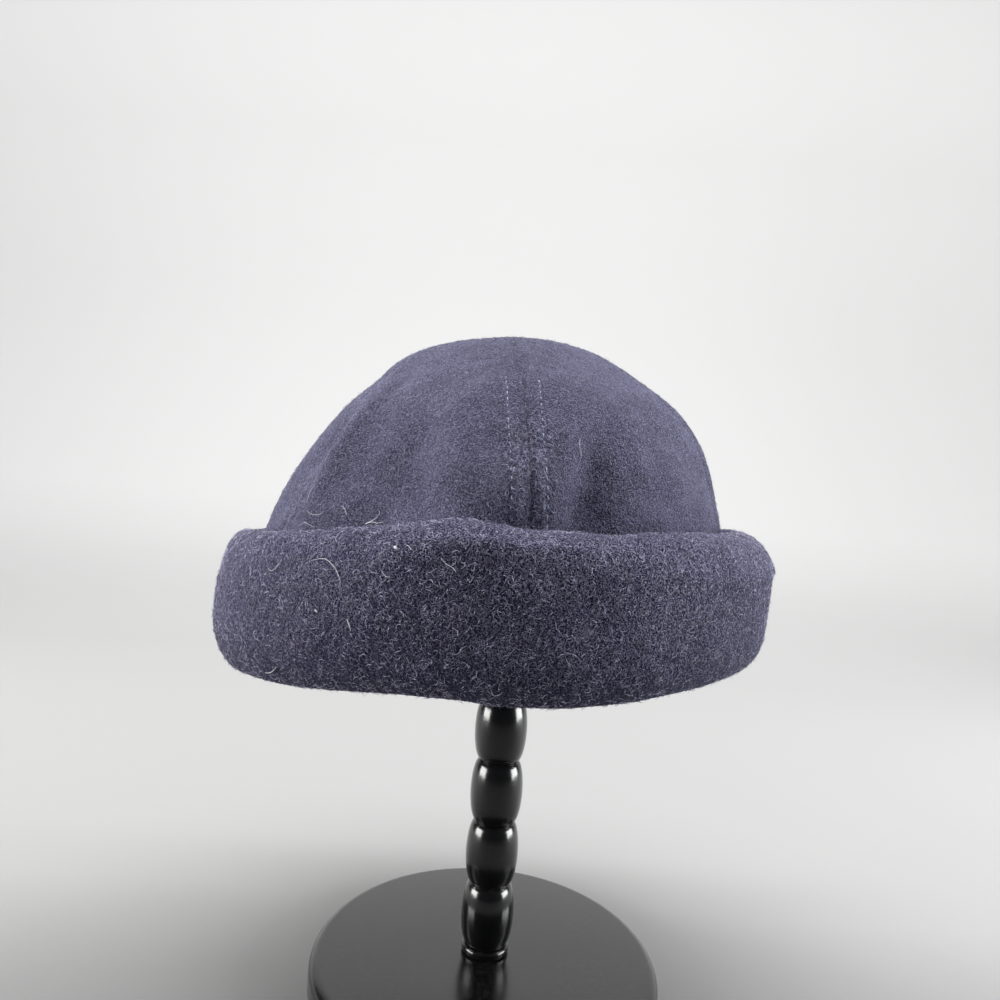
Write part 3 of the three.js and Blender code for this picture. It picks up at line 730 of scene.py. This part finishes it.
def rods(centres, radii, sides):
    """Closed round rods along lines of centres: tips at both ends, and rings of points between them."""
    count, rings = centres.shape[:2]
    along = unit(np.gradient(centres, axis=1))
    across = unit(np.cross(along, RINGS_FROM))
    over = np.cross(along, across)
    turns = np.linspace(0, 2 * np.pi, sides, endpoint=False)[:, None]
    ring = np.cos(turns) * across[:, :, None] + np.sin(turns) * over[:, :, None]
    inner = (centres[:, :, None] + radii[..., None, None] * ring)[:, 1:-1].reshape(count, -1, 3)
    points = np.concatenate([centres[:, :1], inner, centres[:, -1:]], axis=1)
    tip = 1 + (rings - 2) * sides
    faces = [(0, 1 + (side + 1) % sides, 1 + side) for side in range(sides)]
    faces += [(tip, tip - sides + side, tip - sides + (side + 1) % sides) for side in range(sides)]
    for ring_start in range(1, tip - sides, sides):
        for side in range(sides):
            a, b = ring_start + side, ring_start + (side + 1) % sides
            faces += [(a, b, b + sides), (a, b + sides, a + sides)]
    shifts = np.arange(count)[:, None, None] * points.shape[1]
    return points.reshape(-1, 3), (np.array(faces)[None] + shifts).reshape(-1, 3)


def stitch_row(seam, side):
    """The centre lines of one row's uneven stitches, with both ends of each pulled down into the cloth."""
    gore = seam if side > 0 else seam - 1
    turn = 0 if gore >= 0 else 360
    gore = gore % SEAMS
    row = np.linspace(*STITCHED_ROWS, PATH_STEPS)
    height = crown_column(HEIGHT, row)
    seam_at = seam_angle(seam, height) + turn
    angle = seam_at + side * np.degrees(stitch_offset(seam, side, height) / crown_oval(row, seam_at))
    path = gore_points(gore, row, angle)
    uneven = np.random.default_rng(STITCH_SEED + 2 * seam + (side > 0))
    run = np.concatenate([[0], np.cumsum(np.linalg.norm(np.diff(path, axis=0), axis=1))])
    starts = np.arange(FIRST_STITCH, run[-1] - STITCH_LENGTH, STITCH_PITCH)
    share = np.linspace(0, 1, STITCH_RINGS + 2)
    shorter, deeper, aside = uneven.random((3, len(starts), 1))
    part = shorter * STITCH_SHORTER / 2 + (1 - shorter * STITCH_SHORTER) * share
    at = starts[:, None] + STITCH_LENGTH * part
    rows, angles = np.interp(at, run, row), np.interp(at, run, angle)
    radius = np.maximum(crown_oval(rows, angles), ASIDE_RADIUS)
    angles = angles + np.degrees(STITCH_ASIDE * (2 * aside - 1) / radius)
    hidden = STITCH_HIDDEN[seam] + NAP_COVERS * smoothstep(crown_column(HEIGHT, rows), *NAP_CLOSES)
    sink = STITCH_SINK * (2 * share - 1) ** 2 - STITCH_RAISED + hidden + STITCH_DEEPER * deeper
    return gore_points(gore, rows, angles, sink - cloth_waver(gore_points(gore, rows, angles)))


stitch_thread = thread_material("blue_grey_thread", THREAD_DARK, THREAD_LIGHT)
taper = np.sin(np.pi * np.linspace(0, 1, STITCH_RINGS + 2)) ** STITCH_TAPER
for seam in range(SEAMS):
    lines = on_stand(np.concatenate([stitch_row(seam, side) for side in (-1, 1)]))
    points, faces = rods(lines, np.broadcast_to(THREAD_RADIUS * taper, lines.shape[:2]), STITCH_SIDES)
    topstitch = piece_of(f"topstitch_{seam + 1}", points, faces, stitch_thread)
    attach(topstitch, "root")

# The nap: wool fibres teased out of the melton in milling and wear. Most are short bent ends that lie on
# the cloth, some are longer curls that stand off it and soften the outline. They are the cloth's own.
NAP_SEED, CUFF_NAP_PIECES = 41, 4
# length, thickness, bend, lift and rings of the short ends, the curls and the tufts, and their numbers
NAP_KINDS = ((1.3, 0.15, 0.7, 0.45, 1), (2.4, 0.125, 1.2, 1.1, 2), (2.6, 0.14, 2.0, 0.5, 4))
CROWN_NAP, CUFF_NAP = (27000, 7200, 600), (36000, 10800, 3000)
FUZZ_RIGHT, FUZZ_LEFT = (260, 140, 20), (380, 200, 30)
# the least share of a length or a thickness that a fibre has, and how much more the greatest has
LEAST_LENGTH, MORE_LENGTH, LEAST_THICKNESS, MORE_THICKNESS = 0.55, 0.9, 0.7, 0.6
CURL_MIDDLE, WAVE_MIDDLE = 0.1, 0.15
FIBRE_RAISED, FIBRE_LIFT_POWER, FIBRE_SIDES = 0.04, 1.5, 3
# the fibres' tones: most are dark by this power, and each varies along its length at this scale
TONE_POWER, TONE_SPAN, TONE_LEAST, ALONG_SCALE, ALONG_SPAN, ALONG_LEAST = 1.5, 0.95, 0.05, 900.0, 1.6, 0.2
# size and seed of the clumps that the nap stands in, their mean density, its swing and its limits
CLUMP_SIZE, CLUMP_SEED, CLUMP_MEAN, CLUMP_SWING, CLUMP_LIMITS = 3.2, 5.3, 0.9, 1.5, (0.2, 2)
# how much thicker the crown's nap is along the seams, and over how many columns of quads
SEAM_CROWDING, SEAM_QUADS = 4, 3
FUZZ_HEIGHTS, FUZZ_COLUMNS, FUZZ_FADE = (36, 88), 14, 0.7
# where the cuff's ply shows and carries nap, in shares of its length
CUFF_SHOWN = (0.14, 0.9)
random = np.random.default_rng(NAP_SEED)


def spread_over(grid, count, crowding):
    """Places spread in clumps over a grid of surface points, each with a tangent and its outward normal."""
    a, b, c, d = grid[:-1, :-1], grid[:-1, 1:], grid[1:, 1:], grid[1:, :-1]
    across = (b - a + c - d) / 2
    outward = np.cross(across, (d - a + c - b) / 2)
    clumps = np.clip(CLUMP_MEAN + CLUMP_SWING * unevenness(a, CLUMP_SIZE, CLUMP_SEED), *CLUMP_LIMITS)
    area = (np.linalg.norm(outward, axis=-1) * clumps * crowding).ravel()
    pick = (np.arange(count) + random.random(count)) / count * area.sum()
    chosen = np.minimum(np.searchsorted(np.cumsum(area), pick), len(area) - 1)
    a, b, c, d, across, outward = [part.reshape(-1, 3)[chosen] for part in (a, b, c, d, across, outward)]
    u, v = random.random((2, count, 1))
    place = (1 - v) * ((1 - u) * a + u * b) + v * ((1 - u) * d + u * c)
    return place, unit(across), unit(outward)


def fibres(grid, count, crowding, length, thickness, bend, lift, rings):
    """Closed thin fibres lying in all directions on a surface, bent sideways and lifted off it."""
    place, across, outward = spread_over(grid, count, crowding)
    turn = random.random((count, 1)) * 2 * np.pi
    beside = np.cross(outward, across)
    along = np.cos(turn) * across + np.sin(turn) * beside
    aside = np.cross(outward, along)
    spans = length * (LEAST_LENGTH + MORE_LENGTH * random.random((count, 1, 1)))
    share = np.linspace(-0.5, 0.5, rings + 2)[None, :, None]
    curl = bend * random.normal(size=(count, 1, 1))
    wave = bend * random.normal(size=(count, 1, 1))
    rise = lift * random.random((count, 1, 1)) ** 2
    lines = place[:, None] + along[:, None] * spans * share
    bowed = curl * (share**2 - CURL_MIDDLE) + wave * share * (share**2 - WAVE_MIDDLE)
    lines = lines + aside[:, None] * spans * bowed
    lines = lines + outward[:, None] * (FIBRE_RAISED + rise * (share + 0.5) ** FIBRE_LIFT_POWER)
    widths = LEAST_THICKNESS + MORE_THICKNESS * random.random((count, 1))
    return rods(lines, thickness / 2 * widths * np.ones((1, rings + 2)), FIBRE_SIDES)


def nap_piece(name, grid, material, counts, crowding=1):
    """One area's nap as a single mesh, with more of it where the crowding over its quads is greater."""
    points, faces = np.empty((0, 3)), np.empty((0, 3), int)
    for count, kind in zip(counts, NAP_KINDS):
        more_points, more_faces = fibres(grid, count, crowding, *kind)
        faces = np.concatenate([faces, more_faces + len(points)])
        points = np.concatenate([points, more_points])
    nap = piece_of(name, points, faces, material)
    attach(nap, "root")


def nap_material(name, dark, light):
    """Single wool fibres, each in its own tone from the dark one to the light one."""
    material, tree, shader = new_material(
        name, Roughness=0.75, Sheen_Weight=0.4, Sheen_Roughness=0.4, Sheen_Tint=(0.7, 0.7, 0.85, 1)
    )
    own_tone = add(tree, "ShaderNodeNewGeometry").outputs["Random Per Island"]
    place = add(tree, "ShaderNodeTexCoord").outputs["Object"]
    along = calc(tree, "MULTIPLY_ADD", grain(tree, place, ALONG_SCALE, 1.0), ALONG_SPAN, ALONG_LEAST)
    share = calc(tree, "MULTIPLY_ADD", calc(tree, "POWER", own_tone, TONE_POWER), TONE_SPAN, TONE_LEAST)
    share = calc(tree, "MULTIPLY", share, along, clamp=True)
    plug(tree, shader["Base Color"], tone(tree, share, dark, light))
    return material


crown_wool = nap_material("navy_wool_crown", (0.034, 0.033, 0.06, 1), (0.43, 0.42, 0.6, 1))
cuff_wool = nap_material("navy_wool_cuff", (0.007, 0.006, 0.03, 1), (0.76, 0.73, 0.98, 1))
along_seams = np.ones(gore_grids[0].shape[1] - 1)
along_seams[:SEAM_QUADS] = along_seams[-SEAM_QUADS:] = SEAM_CROWDING
counts = [count // SEAMS for count in CROWN_NAP]
for gore, grid in enumerate(gore_grids):
    nap_piece(f"crown_nap_{gore + 1}", grid, crown_wool, counts, along_seams)
# the pale fuzz that the needle has drawn up along both sides of the front seam
seam_fuzz = nap_material("blue_grey_fuzz", (0.14, 0.143, 0.2, 1), (0.6, 0.62, 0.88, 1))
row_heights = crown_column(HEIGHT, np.linspace(0, len(CROWN_SECTIONS) - 1, CROWN_ROWS))
fuzzy_rows = np.flatnonzero((row_heights > FUZZ_HEIGHTS[0]) & (row_heights < FUZZ_HEIGHTS[1]))
fading_up = np.sin(np.linspace(0, np.pi, len(fuzzy_rows) - 1))
fading_across = np.linspace(1, 0, FUZZ_COLUMNS - 1) ** FUZZ_FADE
fading = fading_up[:, None] * fading_across
right_side, left_side = gore_grids[0][fuzzy_rows, :FUZZ_COLUMNS], gore_grids[-1][fuzzy_rows, -FUZZ_COLUMNS:]
nap_piece("front_fuzz_right", right_side, seam_fuzz, FUZZ_RIGHT, fading)
nap_piece("front_fuzz_left", left_side, seam_fuzz, FUZZ_LEFT, fading[:, ::-1])
cuff_shown = on_stand(cuff_outer)[slice(*[round(share * CUFF_STEPS) for share in CUFF_SHOWN])]
quarter = CUFF_COLUMNS // CUFF_NAP_PIECES
counts = [count // CUFF_NAP_PIECES for count in CUFF_NAP]
for part in range(CUFF_NAP_PIECES):
    columns = np.arange(part * quarter, (part + 1) * quarter + 1) % CUFF_COLUMNS
    nap_piece(f"cuff_nap_{part + 1}", cuff_shown[:, columns], cuff_wool, counts)

# The lint: pale hairs, a few curled fibres and specks that the wool has picked up. They cling to the nap on
# the hat's front and aren't sewn or glued.
LINT_GREY, LINT_WHITE = (0.55, 0.55, 0.62, 1), (0.95, 0.95, 0.98, 1)
# thickness in millimetres, then (angle, height) places on the hat, where the hair's bends lie
LINT = {
    "arc_hair": (0.16, [
        (-29.1, 39.9), (-26.3, 40.8), (-24.4, 39.4), (-23.3, 37.6), (-22.4, 34.7), (-22.6, 31.3),
    ]),
    "hook_hair": (0.16, [(-39.1, 37.1), (-37.7, 36.3), (-36.4, 37.9), (-35.7, 39.6)]),
    "straight_hair": (0.36, [(-21.1, 25.0), (-20.7, 23.3), (-20.4, 21.6)]),
    "low_hair": (0.2, [(-40.6, 5.3), (-38.4, 6.2), (-36.3, 8.4)]),
    "rim_hair": (0.14, [(-43.9, 48.8), (-42.3, 50.2), (-41.0, 49.6), (-39.0, 48.6)]),
    "left_of_middle_hair": (0.18, [(-15.7, 38.5), (-14.9, 36.9), (-14.2, 36.8)]),
    "middle_hair": (0.18, [(-7.0, 42.1), (-6.3, 40.6), (-5.2, 39.4), (-4.8, 38.1)]),
    "belly_hair": (0.15, [(-12.9, 27.8), (-12.4, 27.2), (-12.2, 26.2)]),
    "low_middle_hair": (0.14, [(-5.4, 23.7), (-4.6, 22.7), (-4.7, 21.4)]),
    "upper_hair": (0.15, [(-12.3, 45.3), (-11.7, 44.8), (-11.2, 43.8)]),
    "white_speck": (0.8, [(-14.0, 44.8), (-13.8, 44.4), (-13.5, 44.0)]),
    "grey_speck": (0.45, [(-26.9, 26.8), (-26.7, 26.4), (-26.4, 26.0)]),
    "tick_curl": (0.22, [
        (-24.4, 54.2), (-24.2, 52.6), (-25.2, 51.2), (-26.9, 50.0), (-25.6, 50.6), (-24.2, 50.2),
        (-22.4, 50.7),
    ]),
    "low_curl": (0.15, [(-33.6, 55.6), (-32.4, 54.4), (-31.8, 52.6)]),
    "ridge_curl": (0.13, [(-41.8, 62.2), (-42.8, 60.0), (-43.0, 57.8), (-42.8, 56.2)]),
    "bowl_curl": (0.13, [(-42.3, 54.2), (-40.4, 52.8), (-38.6, 52.8), (-37.2, 54.2)]),
    "loose_thread": (0.2, [(19.4, 76.5), (18.7, 74.2), (18.9, 72.0), (18.8, 70.0)]),
}
LINT_STEPS, LINT_SIDES, LINT_TAPER, LINT_RAISED = 14, 6, 0.4, 0.45
# how far from the hat's axis the lint is laid on from, in metres
LAID_FROM = 0.2

evaluated = bpy.context.evaluated_depsgraph_get()
hat_outside = [BVHTree.FromObject(piece, evaluated) for piece in (cuff_band, *gore_pieces)]


def laid_on(angle, height):
    """The point on the hat at an angle and height of its own frame, raised off it, in millimetres."""
    turn = math.radians(angle)
    outward = Vector((math.sin(turn), -math.cos(turn), 0))
    outside = HAT_MATRIX @ (outward * LAID_FROM + Vector((0, 0, height * MM)))
    hits = [surface.ray_cast(outside, HAT_MATRIX.to_3x3() @ -outward) for surface in hat_outside]
    place, normal = min((hit for hit in hits if hit[0]), key=lambda hit: hit[3])[:2]
    return (place + normal * LINT_RAISED * MM) / MM


def lint_line(places):
    """A smooth line over the hat through a hair's places."""
    line = along_line(np.array([places], float), np.linspace(0, 1, LINT_STEPS))[0]
    return np.array([laid_on(angle, height) for angle, height in line])


pale_lint = thread_material("pale_lint", LINT_GREY, LINT_WHITE)
slim_ends = np.sin(np.pi * np.linspace(0, 1, LINT_STEPS)) ** LINT_TAPER
for name, (thickness, places) in LINT.items():
    points, faces = rods(lint_line(places)[None], (thickness / 2 * slim_ends)[None], LINT_SIDES)
    hair = piece_of(f"lint_{name}", points, faces, pale_lint)
    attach(hair, "root")

# The studio: a pale paper sweep under and behind the stand, two soft boxes level with it on the left and
# right, a broad soft light overhead, and little light from the camera's side. None of it is part of the hat.
SWEEP_WIDTH, SWEEP_FRONT, SWEEP_BACK, SWEEP_TOP = 8.0, -2.5, 1.5, 3.2
SWEEP_BEND, SWEEP_STEPS = 0.9, 16
# the paper's painted shade: how far back and up, and how pale; darkest on the floor in front, darker again up
# the wall
PAPER_SHADE_GRADE = (
    (-0.14, 0.14), (0.08, 0.37), (0.6, 0.4), (1.0, 0.47),
    (1.45, 0.55), (2.2, 0.61), (3.3, 0.59), (3.9, 0.53),
)
PAPER_CLOUD_SCALE, PAPER_CLOUDS, PAPER_BLUE = 9.0, 0.01, 0.995
CAMERA_PLACE, CAMERA_ROLL = Vector((-0.00746, -0.308, 0.196)), math.radians(4.3)
FOCAL_PIXELS, FRAME_PIXELS, SENSOR = 751.0, 1000.0, 36.0
NEAREST_SEEN = 0.01
ROOM_COLOUR, ROOM_LIGHT = (0.9, 0.93, 1.0, 1), 0.05
# place, aimed at, width, height, watts, colour
SOFT_BOXES = {
    "left_box": ((-1.0, -0.27, 0.24), (0, 0, 0.18), 0.62, 0.42, 11.6, (1.0, 0.99, 0.97)),
    "right_box": ((1.0, -0.08, 0.24), (0, 0, 0.18), 0.6, 0.42, 11.3, (0.99, 1.0, 1.0)),
    "overhead_box": ((0, 0.04, 1.05), (0, 0.06, 0), 1.2, 0.7, 9.4, (1.0, 1.0, 1.0)),
    "backdrop_box": ((0, 0.2, 2.3), (0, 2.4, 1.1), 7.5, 0.8, 175.0, (1.0, 1.0, 1.0)),
}


def sweep_points():
    """The floor, its bend and the wall behind, as two edges."""
    turns = np.linspace(0, math.pi / 2, SWEEP_STEPS)
    bend = [(SWEEP_BACK + SWEEP_BEND * math.sin(turn), SWEEP_BEND * (1 - math.cos(turn))) for turn in turns]
    line = [(SWEEP_FRONT, 0), *bend, (SWEEP_BACK + SWEEP_BEND, SWEEP_TOP)]
    half = SWEEP_WIDTH / 2
    return [(side * half / MM, y / MM, z / MM) for y, z in line for side in (-1, 1)], len(line)


def pale_paper():
    """Matt paper with faint clouds and painted shade: darkest on the floor in front, palest far back on the
    floor, darker again up the wall.
    """
    paper, tree, shader = new_material("pale_paper", Roughness=0.9, Specular_IOR_Level=0.1)
    place = add(tree, "ShaderNodeTexCoord").outputs["Object"]
    axes = add(tree, "ShaderNodeSeparateXYZ", [(0, place)]).outputs
    first, last = PAPER_SHADE_GRADE[0][0], PAPER_SHADE_GRADE[-1][0]
    back = calc(tree, "SUBTRACT", calc(tree, "ADD", axes["Y"], axes["Z"]), first)
    back = calc(tree, "DIVIDE", back, last - first)
    back = calc(tree, "MULTIPLY_ADD", grain(tree, place, PAPER_CLOUD_SCALE, 4.0), PAPER_CLOUDS, back)
    # painted shade on the paper, graded by how far back and up it lies
    ramp = add(tree, "ShaderNodeValToRGB", [(0, back)])
    stops = ramp.color_ramp.elements
    for far, _ in PAPER_SHADE_GRADE[1:-1]:
        stops.new((far - first) / (last - first))
    for stop, (_, pale) in zip(stops, PAPER_SHADE_GRADE):
        stop.color = (pale, pale, PAPER_BLUE * pale, 1)
    plug(tree, shader["Base Color"], ramp.outputs["Color"])
    return paper


points, rows = sweep_points()
sweep = piece_of("paper_sweep", points, band_faces(rows, 2), pale_paper())

for name, (place, target, width, height, watts, colour) in SOFT_BOXES.items():
    light = bpy.data.lights.new(name, "AREA")
    light.shape = "RECTANGLE"
    light.size, light.size_y = width, height
    light.energy = watts
    light.color = colour
    box = bpy.data.objects.new(name, light)
    box.location = place
    box.rotation_euler = (Vector(target) - Vector(place)).to_track_quat("-Z", "Y").to_euler()
    bpy.context.scene.collection.objects.link(box)

world = bpy.data.worlds.new("dim_room")
world.use_nodes = True
room = world.node_tree.nodes["Background"].inputs
room["Color"].default_value = ROOM_COLOUR
room["Strength"].default_value = ROOM_LIGHT
bpy.context.scene.world = world
bpy.context.scene.view_settings.view_transform = "Standard"

camera = bpy.data.cameras.new("front_camera")
camera.sensor_width = SENSOR
camera.lens = SENSOR * FOCAL_PIXELS / FRAME_PIXELS
camera.clip_start = NEAREST_SEEN
front_camera = bpy.data.objects.new("front_camera", camera)
right = Vector((math.cos(CAMERA_ROLL), 0, math.sin(CAMERA_ROLL)))
up = Vector((-math.sin(CAMERA_ROLL), 0, math.cos(CAMERA_ROLL)))
camera_turn = Matrix((right, up, Vector((0, -1, 0)))).transposed().to_4x4()
front_camera.matrix_world = Matrix.Translation(CAMERA_PLACE) @ camera_turn
bpy.context.scene.collection.objects.link(front_camera)
bpy.context.scene.camera = front_camera
